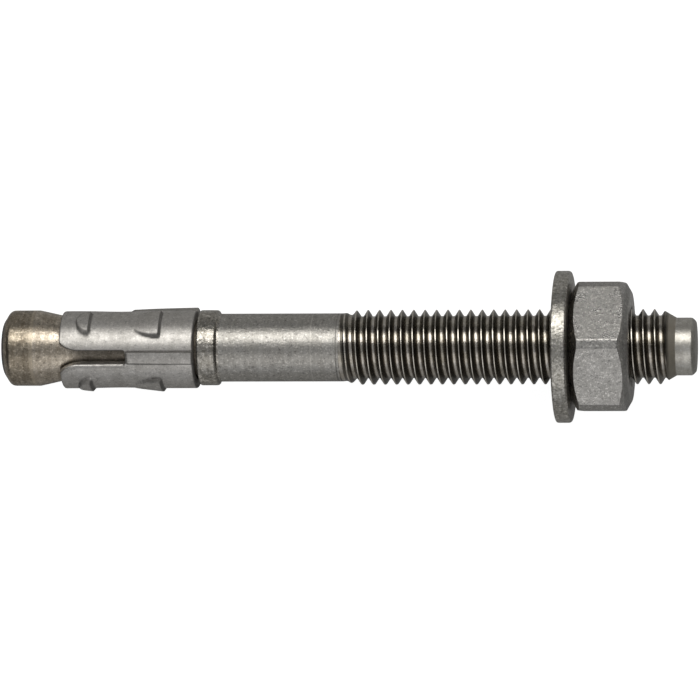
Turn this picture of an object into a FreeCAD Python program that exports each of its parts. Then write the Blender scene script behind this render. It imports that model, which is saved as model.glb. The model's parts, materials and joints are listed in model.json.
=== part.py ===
import FreeCAD, Part

import math
import os

import Sketcher
from FreeCAD import Placement, Rotation, Vector

# An M10 wedge anchor: a one-piece bolt with a cone at one end and a thread at
# the other, an expansion sleeve rolled round its neck, a washer and a hex nut.
# Every piece is drawn along +X from the cone end, which is X = 0, and the whole
# anchor is then laid down as it rests, on the rim of its cone end and of its washer.

# Driving sizes, in millimetres and degrees
SIZES = [
    ("boss_radius", 3.5, "flat left on the cone end's face"),
    ("bevel_length", 0.95, "length of the bevel round the cone end"),
    ("bevel_ease", 0.4, "small chamfer between that bevel and the head"),
    ("head_radius", 4.97, "plain cylinder ahead of the cone"),
    ("head_length", 4.7, "from the cone end to the cone"),
    ("cone_length", 6.4, "from the head down to the neck"),
    ("neck_radius", 3.55, "neck that carries the sleeve"),
    ("neck_length", 15.0, "from the cone to the collar"),
    ("collar_radius", 4.94, "collar that drives the sleeve into the hole"),
    ("collar_length", 2.45, "collar, along the bolt"),
    ("collar_ease", 0.2, "small chamfer on both rims of the collar"),
    ("shank_ease", 0.2, "slope between the collar and the shank"),
    ("shank_radius", 4.46, "blank that the thread is rolled on"),
    ("shank_length", 16.2, "from the collar to the thread"),
    ("crest_radius", 4.9, "threaded stretch, over its crests"),
    ("crest_fade", 3.0, "length over which the first crests rise from the shank"),
    ("thread_length", 42.35, "from the shank to the last full crest"),
    ("thread_pitch", 1.5, "from one crest to the next"),
    ("thread_depth", 0.4, "from the rings' edges down to their roots"),
    ("crest_trim", 0.03, "taken off the crests, so that the rings meet in an edge"),
    ("lead_length", 1.5, "bevel from the last crest down to the point"),
    ("point_radius", 3.76, "dog point past the thread"),
    ("point_length", 2.55, "dog point, along the bolt"),
    ("point_bevel", 0.5, "bevel round the end of the dog point"),
    ("sleeve_play", 0.39, "between the neck and the rolled sleeve, all round"),
    ("sleeve_wall", 1.15, "thickness of its sheet"),
    ("sleeve_gap", 0.42, "play between the sleeve and the collar"),
    ("sleeve_lap", 3.17, "how far the sleeve reaches from the neck up the cone"),
    ("sleeve_drop", 0.22, "how far the loose sleeve sits off the bolt's axis"),
    ("lip_play", 0.24, "between the cone and the sleeve's front, all round"),
    ("lip_stop", 0.27, "from where the sleeve's inside starts to open to the neck"),
    ("sleeve_ease", 0.18, "small chamfer on the outer rims of the sleeve"),
    ("slot_angle", 12.3, "first slot, turned from +Z towards -Y"),
    ("slot_width", 1.9, "slot between two wings"),
    ("slot_length", 8.8, "from the sleeve's front to the slot's closed end"),
    ("slot_round", 0.45, "rounds in the closed end's corners"),
    ("wing_count", 3, "wings, slots and ribs round the sleeve"),
    ("tip_length", 2.5, "rounded corner of a wing, along the bolt"),
    ("tip_width", 1.15, "rounded corner of a wing, across"),
    ("rib_width", 1.65, "raised rib behind a slot"),
    ("rib_rise", 0.38, "height of the rib above the sleeve"),
    ("rib_slope", 0.2, "what the rib gains in height towards the rear"),
    ("seam_width", 0.3, "open seam of the rolled sheet, down one rib"),
    ("bump_angle", 28.0, "half of what a bump covers round the wing"),
    ("nail_front_angle", 20.0, "the same at the front bump's front"),
    ("ramp_front_angle", 3.0, "the same at the rear bump's point"),
    ("bump_root", 0.12, "how deep in the sheet a bump's sides start"),
    ("nail_start", 2.15, "front bump, from the sleeve's front"),
    ("nail_length", 1.75, "front bump, along the bolt"),
    ("nail_rise", 0.36, "height of the front bump"),
    ("ramp_start", 9.2, "rear bump's point, from the sleeve's front"),
    ("ramp_length", 4.0, "rear bump, along the bolt"),
    ("ramp_rise", 0.44, "height of the rear bump"),
    ("bump_step", 0.4, "length in which either bump drops at its rear"),
    ("washer_radius", 9.9, "outside of the washer"),
    ("washer_thickness", 2.0, "washer, along the bolt"),
    ("washer_play", 0.5, "washer's hole, round the thread crest"),
    ("washer_lift", 0.3, "how far the bolt lies under the middle of the loose washer"),
    ("washer_ease", 0.22, "small chamfer on both rims of the washer"),
    ("washer_back", 14.15, "from the washer to the last full crest"),
    ("seat_gap", 0.05, "between the washer and the nut"),
    ("nut_width", 16.85, "across the nut's flats"),
    ("nut_height", 7.75, "nut, along the bolt"),
    ("nut_turn", -1.9, "how far one nut corner is turned from +Z"),
    ("nut_face_radius", 7.1, "flat ring left by the chamfer on either face"),
    ("nut_chamfer_angle", 30.0, "slope of that chamfer against the face"),
    ("countersink", 0.35, "how far the nut's hole opens past the thread"),
    ("thread_play", 0.09, "between the nut's thread and the bolt's, all round"),
]

doc = FreeCAD.newDocument("wedge_anchor")
sizes = doc.addObject("Spreadsheet::Sheet", "sizes")
for row, (alias, size, meaning) in enumerate(SIZES, 1):
    sizes.set(f"A{row}", alias)
    sizes.set(f"B{row}", str(size))
    sizes.setAlias(f"B{row}", alias)
    sizes.set(f"C{row}", meaning)
doc.recompute()

# Places along the bolt, each worked out from the one before
CONE = "sizes.head_length"
NECK = CONE + " + sizes.cone_length"
COLLAR = NECK + " + sizes.neck_length"
SHANK = COLLAR + " + sizes.collar_length"
THREAD = SHANK + " + sizes.shank_length"
LEAD = THREAD + " + sizes.thread_length"
POINT = LEAD + " + sizes.lead_length"
END = POINT + " + sizes.point_length"

CRESTS = "floor(sizes.thread_length / sizes.thread_pitch)"
FIRST_ROOT = LEAD + f" - ({CRESTS} - 0.5) * sizes.thread_pitch"

SLEEVE_REAR = COLLAR + " - sizes.sleeve_gap"
SLEEVE_FRONT = NECK + " - sizes.sleeve_lap"
SLEEVE_BORE = "(sizes.neck_radius + sizes.sleeve_play)"
SLEEVE_RADIUS = "(sizes.neck_radius + sizes.sleeve_play + sizes.sleeve_wall)"
CONE_SLOPE = "(sizes.head_radius - sizes.neck_radius) / sizes.cone_length"
LIP_BORE = f"(sizes.neck_radius + sizes.sleeve_lap * {CONE_SLOPE} + sizes.lip_play)"
SLOT_END = SLEEVE_FRONT + " + sizes.slot_length"

WASHER = LEAD + " - sizes.washer_back"
WASHER_END = WASHER + " + sizes.washer_thickness"
NUT = WASHER_END + " + sizes.seat_gap"
NUT_END = NUT + " + sizes.nut_height"
NUT_CORNER = "sizes.nut_width / sqrt(3)"

# How near an edge lies to where it is looked for
NEAR = 0.01


def plane_of(body, role):
    """The body's own origin plane or axis with this role."""
    return next(o for o in body.Origin.OriginFeatures if o.Role == role)


def value(formula):
    """What a formula comes to with the sheet's present sizes."""
    answer = sizes.evalExpression(formula.replace("sizes.", ""))
    return float(getattr(answer, "Value", answer))


def arc_between(start, end, radius):
    """The short arc from start to end; a positive radius bulges to the right of the way."""
    chord = end - start
    right = Vector(chord.y, -chord.x, 0).normalize()
    rise = abs(radius) - math.sqrt(radius ** 2 - (chord.Length / 2) ** 2)
    return Part.Arc(start, (start + end) / 2 + right * math.copysign(rise, radius), end)


def outline(body, name, role, corners, arcs=None):
    """A closed sketch on an origin plane, every corner bound to the sheet.

    arcs gives the radius, as a formula, of each side that isn't straight; with a
    minus sign it bulges to the left of the way round.
    """
    arcs = arcs or {}
    sketch = body.newObject("Sketcher::SketchObject", name)
    sketch.AttachmentSupport = [(plane_of(body, role), "")]
    sketch.MapMode = "FlatFace"
    count = len(corners)
    drawn = [Vector(value(across), value(up), 0) for across, up in corners]
    heads, tails = [], []
    for i in range(count):
        start, end = drawn[i], drawn[(i + 1) % count]
        if i not in arcs:
            sketch.addGeometry(Part.LineSegment(start, end), False)
            heads.append(1)
            tails.append(2)
            continue
        radius = value(arcs[i])
        sketch.addGeometry(arc_between(start, end, radius), False)
        # a sketch keeps every arc anticlockwise, which swaps the ends of a clockwise one
        heads.append(1 if radius > 0 else 2)
        tails.append(2 if radius > 0 else 1)
    for i in range(count):
        after = (i + 1) % count
        sketch.addConstraint(Sketcher.Constraint("Coincident", i, tails[i], after, heads[after]))
    for i, (across, up) in enumerate(corners):
        for kind, formula in (("DistanceX", across), ("DistanceY", up)):
            index = sketch.addConstraint(Sketcher.Constraint(kind, -1, 1, i, heads[i], value(formula)))
            sketch.setExpression(f"Constraints[{index}]", formula)
    for i, formula in arcs.items():
        index = sketch.addConstraint(Sketcher.Constraint("Radius", i, abs(value(formula))))
        sketch.setExpression(f"Constraints[{index}]", f"abs({formula})")
    return sketch


def feature(body, kind, name, profile, **settings):
    """A PartDesign feature made from a sketch; text settings are formulas."""
    made = body.newObject("PartDesign::" + kind, name)
    made.Profile = profile
    for key, setting in settings.items():
        if isinstance(setting, str):
            made.setExpression(key, setting)
        else:
            setattr(made, key, setting)
    return made


def turned(body, kind, name, profile):
    """A full turn of a sketch about the piece's axis."""
    return feature(body, kind, name, profile, ReferenceAxis=(plane_of(body, "X_Axis"), [""]), Angle=360)


def rims(shape, places):
    """Names of the round edges at these places along X and radii."""
    found = []
    for number, edge in enumerate(shape.Edges, 1):
        curve = edge.Curve
        if isinstance(curve, Part.Circle):
            for along, radius in places:
                if abs(curve.Center.x - along) < NEAR and abs(curve.Radius - radius) < NEAR:
                    found.append(f"Edge{number}")
    return found


def eased(body, name, places, size):
    """A small chamfer on the round edges at these places; size is a formula."""
    doc.recompute()
    base = body.Tip
    made = body.newObject("PartDesign::Chamfer", name)
    made.Base = (base, rims(base.Shape, [(value(along), value(radius)) for along, radius in places]))
    made.setExpression("Size", size)
    return made


def around(body, name, features):
    """Repeat features for every wing, round the piece's axis."""
    made = body.newObject("PartDesign::PolarPattern", name)
    made.Originals = features
    made.Axis = (plane_of(body, "X_Axis"), [""])
    made.Angle = 360
    made.setExpression("Occurrences", "sizes.wing_count")
    body.Tip = made
    return made


# The bolt: one turned blank; its thread is a row of rings, and its turns are left to scene.py
bolt = doc.addObject("PartDesign::Body", "anchor_bolt")
bolt_outline = outline(bolt, "bolt_outline", "XZ_Plane", [
    ("0", "0"),
    ("0", "sizes.boss_radius"),
    ("sizes.bevel_length", "sizes.head_radius"),
    (CONE, "sizes.head_radius"),
    (NECK, "sizes.neck_radius"),
    (COLLAR, "sizes.neck_radius"),
    (COLLAR, "sizes.collar_radius"),
    (SHANK, "sizes.collar_radius"),
    (SHANK, "sizes.shank_radius"),
    (THREAD, "sizes.shank_radius"),
    (THREAD + " + sizes.crest_fade", "sizes.crest_radius"),
    (LEAD, "sizes.crest_radius"),
    (POINT, "sizes.point_radius"),
    (END + " - sizes.point_bevel", "sizes.point_radius"),
    (END, "sizes.point_radius - sizes.point_bevel"),
    (END, "0"),
])
turned(bolt, "Revolution", "bolt_blank", bolt_outline)
eased(bolt, "bevel_edge", [("sizes.bevel_length", "sizes.head_radius")], "sizes.bevel_ease")
eased(bolt, "collar_rims", [(COLLAR, "sizes.collar_radius"), (SHANK, "sizes.collar_radius")],
      "sizes.collar_ease")
eased(bolt, "shank_corner", [(SHANK, "sizes.shank_radius")], "sizes.shank_ease")
doc.recompute()
ROOT_TOP = "sizes.crest_radius + sizes.crest_trim"
ROOT_HALF = "sizes.thread_pitch / 2 * (1 + 2 * sizes.crest_trim / sizes.thread_depth)"
root_outline = outline(bolt, "root_outline", "XZ_Plane", [
    (f"{FIRST_ROOT} - {ROOT_HALF}", ROOT_TOP),
    (FIRST_ROOT, "sizes.crest_radius - sizes.crest_trim - sizes.thread_depth"),
    (f"{FIRST_ROOT} + {ROOT_HALF}", ROOT_TOP),
])
root = turned(bolt, "Groove", "thread_root", root_outline)
roots = bolt.newObject("PartDesign::LinearPattern", "thread_roots")
roots.Originals = [root]
roots.Direction = (plane_of(bolt, "X_Axis"), [""])
roots.setExpression("Occurrences", CRESTS)
roots.setExpression("Length", f"({CRESTS} - 1) * sizes.thread_pitch")
bolt.Tip = roots
doc.recompute()

# The sleeve: a rolled wall, then a rib, a slot and two bumps for each wing, and a seam
sleeve = doc.addObject("PartDesign::Body", "expansion_sleeve")
sleeve_outline = outline(sleeve, "sleeve_outline", "XZ_Plane", [
    (SLEEVE_FRONT, LIP_BORE),
    (SLEEVE_FRONT, SLEEVE_RADIUS),
    (SLEEVE_REAR, SLEEVE_RADIUS),
    (SLEEVE_REAR, SLEEVE_BORE),
    (NECK + " - sizes.lip_stop", SLEEVE_BORE),
])
turned(sleeve, "Revolution", "rolled_wall", sleeve_outline)
eased(sleeve, "sleeve_rims", [(SLEEVE_FRONT, SLEEVE_RADIUS), (SLEEVE_REAR, SLEEVE_RADIUS)],
      "sizes.sleeve_ease")
doc.recompute()

MID_WALL = SLEEVE_BORE + " + sizes.sleeve_wall / 2"
rib_outline = outline(sleeve, "rib_outline", "XZ_Plane", [
    (SLOT_END, MID_WALL),
    (SLOT_END, SLEEVE_RADIUS),
    (SLOT_END + " + sizes.rib_rise", SLEEVE_RADIUS + " + sizes.rib_rise"),
    (SLEEVE_REAR, SLEEVE_RADIUS + " + sizes.rib_rise + sizes.rib_slope"),
    (SLEEVE_REAR, MID_WALL),
])
rib = feature(sleeve, "Pad", "rib", rib_outline, Length="sizes.rib_width", Midplane=True)
around(sleeve, "ribs", [rib])
doc.recompute()


def bump_section(name, along, half_angle, height):
    """A segment of a circle across one wing's middle, its feet just inside the sheet."""
    sketch = sleeve.newObject("Sketcher::SketchObject", name)
    sketch.AttachmentSupport = [(plane_of(sleeve, "YZ_Plane"), "")]
    sketch.MapMode = "FlatFace"
    sketch.AttachmentOffset = Placement(Vector(), Rotation(Vector(0, 0, 1), 60))
    sketch.setExpression("AttachmentOffset.Base.z", along)
    sketch.setExpression("AttachmentOffset.Rotation.Angle", "180 / sizes.wing_count * 1 deg")
    side = f"({SLEEVE_RADIUS} - sizes.bump_root) * sin({half_angle})"
    foot = f"({SLEEVE_RADIUS} - sizes.bump_root) * cos({half_angle})"
    tall = f"({SLEEVE_RADIUS} - sizes.bump_root / 3 + {height} - {foot})"
    radius = f"(({side}) ^ 2 + {tall} ^ 2) / (2 * {tall})"
    left = Vector(-value(side), value(foot), 0)
    right = Vector(value(side), value(foot), 0)
    sketch.addGeometry(Part.LineSegment(left, right), False)
    sketch.addGeometry(arc_between(right, left, value(radius)), False)
    sketch.addConstraint(Sketcher.Constraint("Coincident", 0, 2, 1, 1))
    sketch.addConstraint(Sketcher.Constraint("Coincident", 0, 1, 1, 2))
    sketch.addConstraint(Sketcher.Constraint("PointOnObject", 1, 3, -2))
    sketch.addConstraint(Sketcher.Constraint("Horizontal", 0))
    for kind, places, formula in (
        ("DistanceX", (-1, 1, 0, 2), side),
        ("DistanceY", (-1, 1, 0, 2), foot),
        ("Radius", (1,), radius),
    ):
        index = sketch.addConstraint(Sketcher.Constraint(kind, *places, value(formula)))
        sketch.setExpression(f"Constraints[{index}]", formula)
    return sketch


def bump(name, start, length, rise, front_angle):
    """A stamped bump that rises from its front and drops steeply at its rear."""
    full_angle = "sizes.bump_angle * 1 deg"
    front = f"{SLEEVE_FRONT} + {start}"
    rear = f"{front} + {length}"
    sections = [
        bump_section(f"{name}_front", front, front_angle, "0"),
        bump_section(f"{name}_peak", f"{rear} - sizes.bump_step", full_angle, rise),
        bump_section(f"{name}_rear", rear, full_angle, "0"),
    ]
    made = sleeve.newObject("PartDesign::AdditiveLoft", name)
    made.Profile = sections[0]
    made.Sections = sections[1:]
    made.Ruled = True
    return made


nail = bump("nail", "sizes.nail_start", "sizes.nail_length", "sizes.nail_rise",
            "sizes.nail_front_angle * 1 deg")
ramp = bump("ramp", "sizes.ramp_start", "sizes.ramp_length", "sizes.ramp_rise",
            "sizes.ramp_front_angle * 1 deg")
around(sleeve, "bumps", [nail, ramp])
doc.recompute()

HALF_SLOT = "sizes.slot_width / 2"
HALF_MOUTH = HALF_SLOT + " + sizes.tip_width"
TIP_ARC = "(sizes.tip_length ^ 2 + sizes.tip_width ^ 2) / (2 * sizes.tip_width)"
TIP_BACK = SLEEVE_FRONT + " + sizes.tip_length"
AHEAD = SLEEVE_FRONT + " - sizes.sleeve_wall"
BEHIND = SLEEVE_REAR + " + sizes.sleeve_wall"
slot_outline = outline(sleeve, "slot_outline", "XY_Plane", [
    (AHEAD, f"-({HALF_MOUTH})"),
    (SLEEVE_FRONT, f"-({HALF_MOUTH})"),
    (TIP_BACK, f"-({HALF_SLOT})"),
    (f"{SLOT_END} - sizes.slot_round", f"-({HALF_SLOT})"),
    (SLOT_END, f"-({HALF_SLOT} - sizes.slot_round)"),
    (SLOT_END, f"{HALF_SLOT} - sizes.slot_round"),
    (f"{SLOT_END} - sizes.slot_round", HALF_SLOT),
    (TIP_BACK, HALF_SLOT),
    (SLEEVE_FRONT, HALF_MOUTH),
    (AHEAD, HALF_MOUTH),
], {1: f"-({TIP_ARC})", 3: "sizes.slot_round", 5: "sizes.slot_round", 7: f"-({TIP_ARC})"})
slot = feature(sleeve, "Pocket", "slot", slot_outline, Length="2 * " + SLEEVE_RADIUS, Reversed=True)
around(sleeve, "slots", [slot])
doc.recompute()

seam_outline = outline(sleeve, "seam_outline", "XY_Plane", [
    (SLOT_END + " - sizes.slot_round", "-sizes.seam_width / 2"),
    (BEHIND, "-sizes.seam_width / 2"),
    (BEHIND, "sizes.seam_width / 2"),
    (SLOT_END + " - sizes.slot_round", "sizes.seam_width / 2"),
])
seam_outline.AttachmentOffset = Placement(Vector(), Rotation(Vector(1, 0, 0), 120))
seam_outline.setExpression("AttachmentOffset.Rotation.Angle", "360 / sizes.wing_count * 1 deg")
feature(sleeve, "Pocket", "seam", seam_outline, Length="2 * " + SLEEVE_RADIUS, Reversed=True)
doc.recompute()

# The washer
washer = doc.addObject("PartDesign::Body", "washer")
washer_outline = outline(washer, "washer_outline", "XZ_Plane", [
    (WASHER, "sizes.crest_radius + sizes.washer_play"),
    (WASHER, "sizes.washer_radius"),
    (WASHER_END, "sizes.washer_radius"),
    (WASHER_END, "sizes.crest_radius + sizes.washer_play"),
])
turned(washer, "Revolution", "washer_blank", washer_outline)
eased(washer, "washer_rims", [(WASHER, "sizes.washer_radius"), (WASHER_END, "sizes.washer_radius")],
      "sizes.washer_ease")

# The nut: a hexagon chamfered on both faces and bored through
nut = doc.addObject("PartDesign::Body", "hex_nut")
hexagon = nut.newObject("PartDesign::AdditivePrism", "hexagon")
hexagon.AttachmentSupport = [(plane_of(nut, "YZ_Plane"), "")]
hexagon.MapMode = "FlatFace"
hexagon.Polygon = 6
hexagon.setExpression("Circumradius", NUT_CORNER)
hexagon.setExpression("Height", "sizes.nut_height")
hexagon.AttachmentOffset = Placement(Vector(), Rotation(Vector(0, 0, 1), 90))
hexagon.setExpression("AttachmentOffset.Base.z", NUT)
hexagon.setExpression("AttachmentOffset.Rotation.Angle", "(90 + sizes.nut_turn) * 1 deg")
doc.recompute()

CORNER_PAST = f"({NUT_CORNER} * 1.05)"
CHAMFER_DEPTH = f"(({CORNER_PAST} - sizes.nut_face_radius) * tan(sizes.nut_chamfer_angle * 1 deg))"
MOUTH = "(sizes.crest_radius + sizes.thread_play + sizes.countersink)"
NUT_BORE = "(sizes.crest_radius + sizes.thread_play)"
MOUTH_DEPTH = "(sizes.countersink * tan(30 deg))"
for side, face, inward in (("front", NUT, "+"), ("rear", NUT_END, "-")):
    chamfer_outline = outline(nut, f"{side}_chamfer_outline", "XZ_Plane", [
        (face, "sizes.nut_face_radius"),
        (face, CORNER_PAST),
        (f"{face} {inward} {CHAMFER_DEPTH}", CORNER_PAST),
    ])
    turned(nut, "Groove", f"{side}_chamfer", chamfer_outline)
    doc.recompute()
bore_outline = outline(nut, "bore_outline", "XZ_Plane", [
    (NUT, "0"),
    (NUT, MOUTH),
    (f"{NUT} + {MOUTH_DEPTH}", NUT_BORE),
    (f"{NUT_END} - {MOUTH_DEPTH}", NUT_BORE),
    (NUT_END, MOUTH),
    (NUT_END, "0"),
])
turned(nut, "Groove", "bore", bore_outline)
doc.recompute()

# At rest the cone end's rim and the washer's rim stand on the floor
head_rim = Vector(value("sizes.bevel_length + sizes.bevel_ease"), 0, -value("sizes.head_radius"))
washer_rim = Vector(value(WASHER + " + sizes.washer_ease"), 0,
                    value("sizes.washer_lift - sizes.washer_radius"))
tilt = math.degrees(math.atan2(head_rim.z - washer_rim.z, washer_rim.x - head_rim.x))
tilted = Rotation(Vector(0, 1, 0), -tilt)

pieces = [bolt, sleeve, washer, nut]
own_place = {
    bolt: Placement(),
    sleeve: Placement(Vector(0, -value("sizes.sleeve_drop"), 0),
                      Rotation(Vector(1, 0, 0), value("sizes.slot_angle"))),
    washer: Placement(Vector(0, 0, value("sizes.washer_lift")), Rotation()),
    nut: Placement(),
}
for piece in pieces:
    piece.Placement = Placement(Vector(), tilted) * own_place[piece]
doc.recompute()

# The origin is on the floor under the middle of the whole anchor
length = bolt.Shape.optimalBoundingBox(False)
width = washer.Shape.optimalBoundingBox(False)
to_origin = Vector(-length.Center.x, -width.Center.y, -tilted.multVec(head_rim).z)
for piece in pieces:
    piece.Placement = Placement(to_origin, Rotation()) * piece.Placement
doc.recompute()

for made in doc.Objects:
    if {"Invalid", "Error"} & set(made.State):
        raise RuntimeError(f"{made.Name} did not build: {made.State}")
for piece in pieces:
    if piece.Shape.isNull() or not piece.Shape.isValid() or len(piece.Shape.Solids) != 1:
        raise RuntimeError(f"{piece.Label} is not one sound solid")

os.makedirs("parts", exist_ok=True)
for piece in pieces:
    piece.Shape.exportStep(f"parts/{piece.Label}.step")
    print(piece.Label, round(piece.Shape.Volume, 2), "mm3")
print("tilt", round(tilt, 4), "degrees, cone end at", to_origin)
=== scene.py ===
"""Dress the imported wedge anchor: a steel bolt with a rolled thread, a sleeve, a washer and a nut.

Every piece is drawn in millimetres along the bolt, from its cone end, and is then
laid on the bolt's own axis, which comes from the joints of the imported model.
"""

from __future__ import annotations

import json
import logging
import math
from dataclasses import dataclass, field
from enum import Enum

import bmesh
import bpy
from bpy.types import ID, Material, Mesh, Node, NodeSocket, NodeTree, Object, World
from mathutils import Matrix, Vector

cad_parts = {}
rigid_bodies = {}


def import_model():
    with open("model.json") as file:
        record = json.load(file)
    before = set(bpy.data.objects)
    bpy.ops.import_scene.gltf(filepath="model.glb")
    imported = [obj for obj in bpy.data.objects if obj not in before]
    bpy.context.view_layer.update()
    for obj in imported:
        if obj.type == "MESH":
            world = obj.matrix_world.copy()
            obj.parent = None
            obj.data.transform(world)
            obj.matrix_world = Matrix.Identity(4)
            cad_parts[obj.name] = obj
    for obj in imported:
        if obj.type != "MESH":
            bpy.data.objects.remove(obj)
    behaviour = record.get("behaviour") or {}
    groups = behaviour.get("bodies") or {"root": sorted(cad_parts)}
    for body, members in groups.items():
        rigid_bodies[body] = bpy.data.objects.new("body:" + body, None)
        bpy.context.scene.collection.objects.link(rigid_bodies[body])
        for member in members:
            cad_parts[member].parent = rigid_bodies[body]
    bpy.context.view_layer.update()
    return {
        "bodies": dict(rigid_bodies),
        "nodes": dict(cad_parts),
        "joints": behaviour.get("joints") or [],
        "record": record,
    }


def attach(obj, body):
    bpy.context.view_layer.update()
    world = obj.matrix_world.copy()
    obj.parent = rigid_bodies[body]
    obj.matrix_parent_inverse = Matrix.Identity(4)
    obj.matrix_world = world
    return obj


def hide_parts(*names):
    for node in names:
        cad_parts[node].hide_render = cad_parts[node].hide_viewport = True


log = logging.getLogger("wedge_anchor")

# A millimetre in metres
MM = 0.001
# Points in a ring round the bolt
SIDES = 96
# Points nearer than this, in millimetres, are joined
WELD = 0.002
# Places nearer than this, in millimetres, are the same row
NEAR = 0.001
# Stands for nought where a number has to be more
TINY = 1e-5
# Distance to a slot's side where there is no slot
NO_SLOT = 99.0

Colour = tuple[float, float, float]
Corner = tuple[float, float, float]
Row = list[int | None]


class Zone(Enum):
    """The parts of the bolt that have a finish of their own, from its cone end."""

    HEAD = 0
    CONE = 1
    COLLAR = 2
    SHANK = 3
    THREAD = 4
    POINT = 5


# The bolt's own axis


@dataclass(frozen=True)
class BoltAxis:
    """Where the bolt lies: the middle of its cone end and the way it points."""

    foot: Vector
    along: Vector

    @classmethod
    def from_frame(cls, frame: dict) -> BoltAxis:
        """Read the axis from the nut's joint.


        Returns:
            The bolt's axis, its foot in the middle of the cone end.
        """
        nut_turn = next(j for j in frame["joints"] if j["name"] == "nut_turn")
        along = Vector(nut_turn["axis"]).normalized()
        nut = HexNut()
        foot = Vector(nut_turn["pos_m"]) - along * (nut.start + nut.height / 2) * MM
        return cls(foot, along)

    def matrix(self) -> Matrix:
        """The placing of a point given in millimetres along the bolt."""
        across = Vector((0.0, 1.0, 0.0))
        up = self.along.cross(across)
        turn = Matrix((self.along, across, up)).transposed().to_4x4()
        return Matrix.Translation(self.foot) @ turn @ Matrix.Scale(MM, 4)

    def tilt(self) -> float:
        """How far the bolt rises towards its threaded end, in radians."""
        return math.atan2(self.along.z, self.along.x)


# Meshes


def linked(name: str, data: ID) -> Object:
    """Make an object of a mesh, a light or a camera and link it to the scene."""
    made = bpy.data.objects.new(name, data)
    bpy.context.scene.collection.objects.link(made)
    return made


def smooth(share: float) -> float:
    """Ease a share from nought to one."""
    share = min(1.0, max(0.0, share))
    return share * share * (3.0 - 2.0 * share)


def hump(distance: float, width: float) -> float:
    """Height at a distance from the middle of a smooth hump that is one high."""
    return math.exp(-(distance / width) ** 2)


def rounding(depth: float, reach: float) -> float:
    """How far a rounded edge has dropped at a distance from the edge."""
    if depth >= reach:
        return 0.0
    return reach * (1.0 - math.sqrt(max(0.0, 1.0 - (1.0 - depth / reach) ** 2)))


def eased(corners: list[Corner], steps: int = 4) -> list[tuple[float, float]]:
    """Round an outline's corners.

    Args:
        corners: Place along, radius and how far the rounding reaches from the corner.
        steps: Points that each rounding gets, less one.

    Returns:
        The rounded outline, as places along and radii.
    """
    most = 0.45  # of a side, so that the roundings at its two ends don't meet
    outline: list[tuple[float, float]] = []
    for i, (along, radius, reach) in enumerate(corners):
        here = Vector((along, radius))
        if reach <= 0.0 or i in (0, len(corners) - 1):
            outline.append((along, radius))
            continue
        before = Vector(corners[i - 1][:2]) - here
        after = Vector(corners[i + 1][:2]) - here
        start = here + before.normalized() * min(reach, before.length * most)
        end = here + after.normalized() * min(reach, after.length * most)
        for step in range(steps + 1):
            t = step / steps
            point = start * (1 - t) ** 2 + here * 2 * t * (1 - t) + end * t ** 2
            outline.append((point.x, point.y))
    return outline


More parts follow.
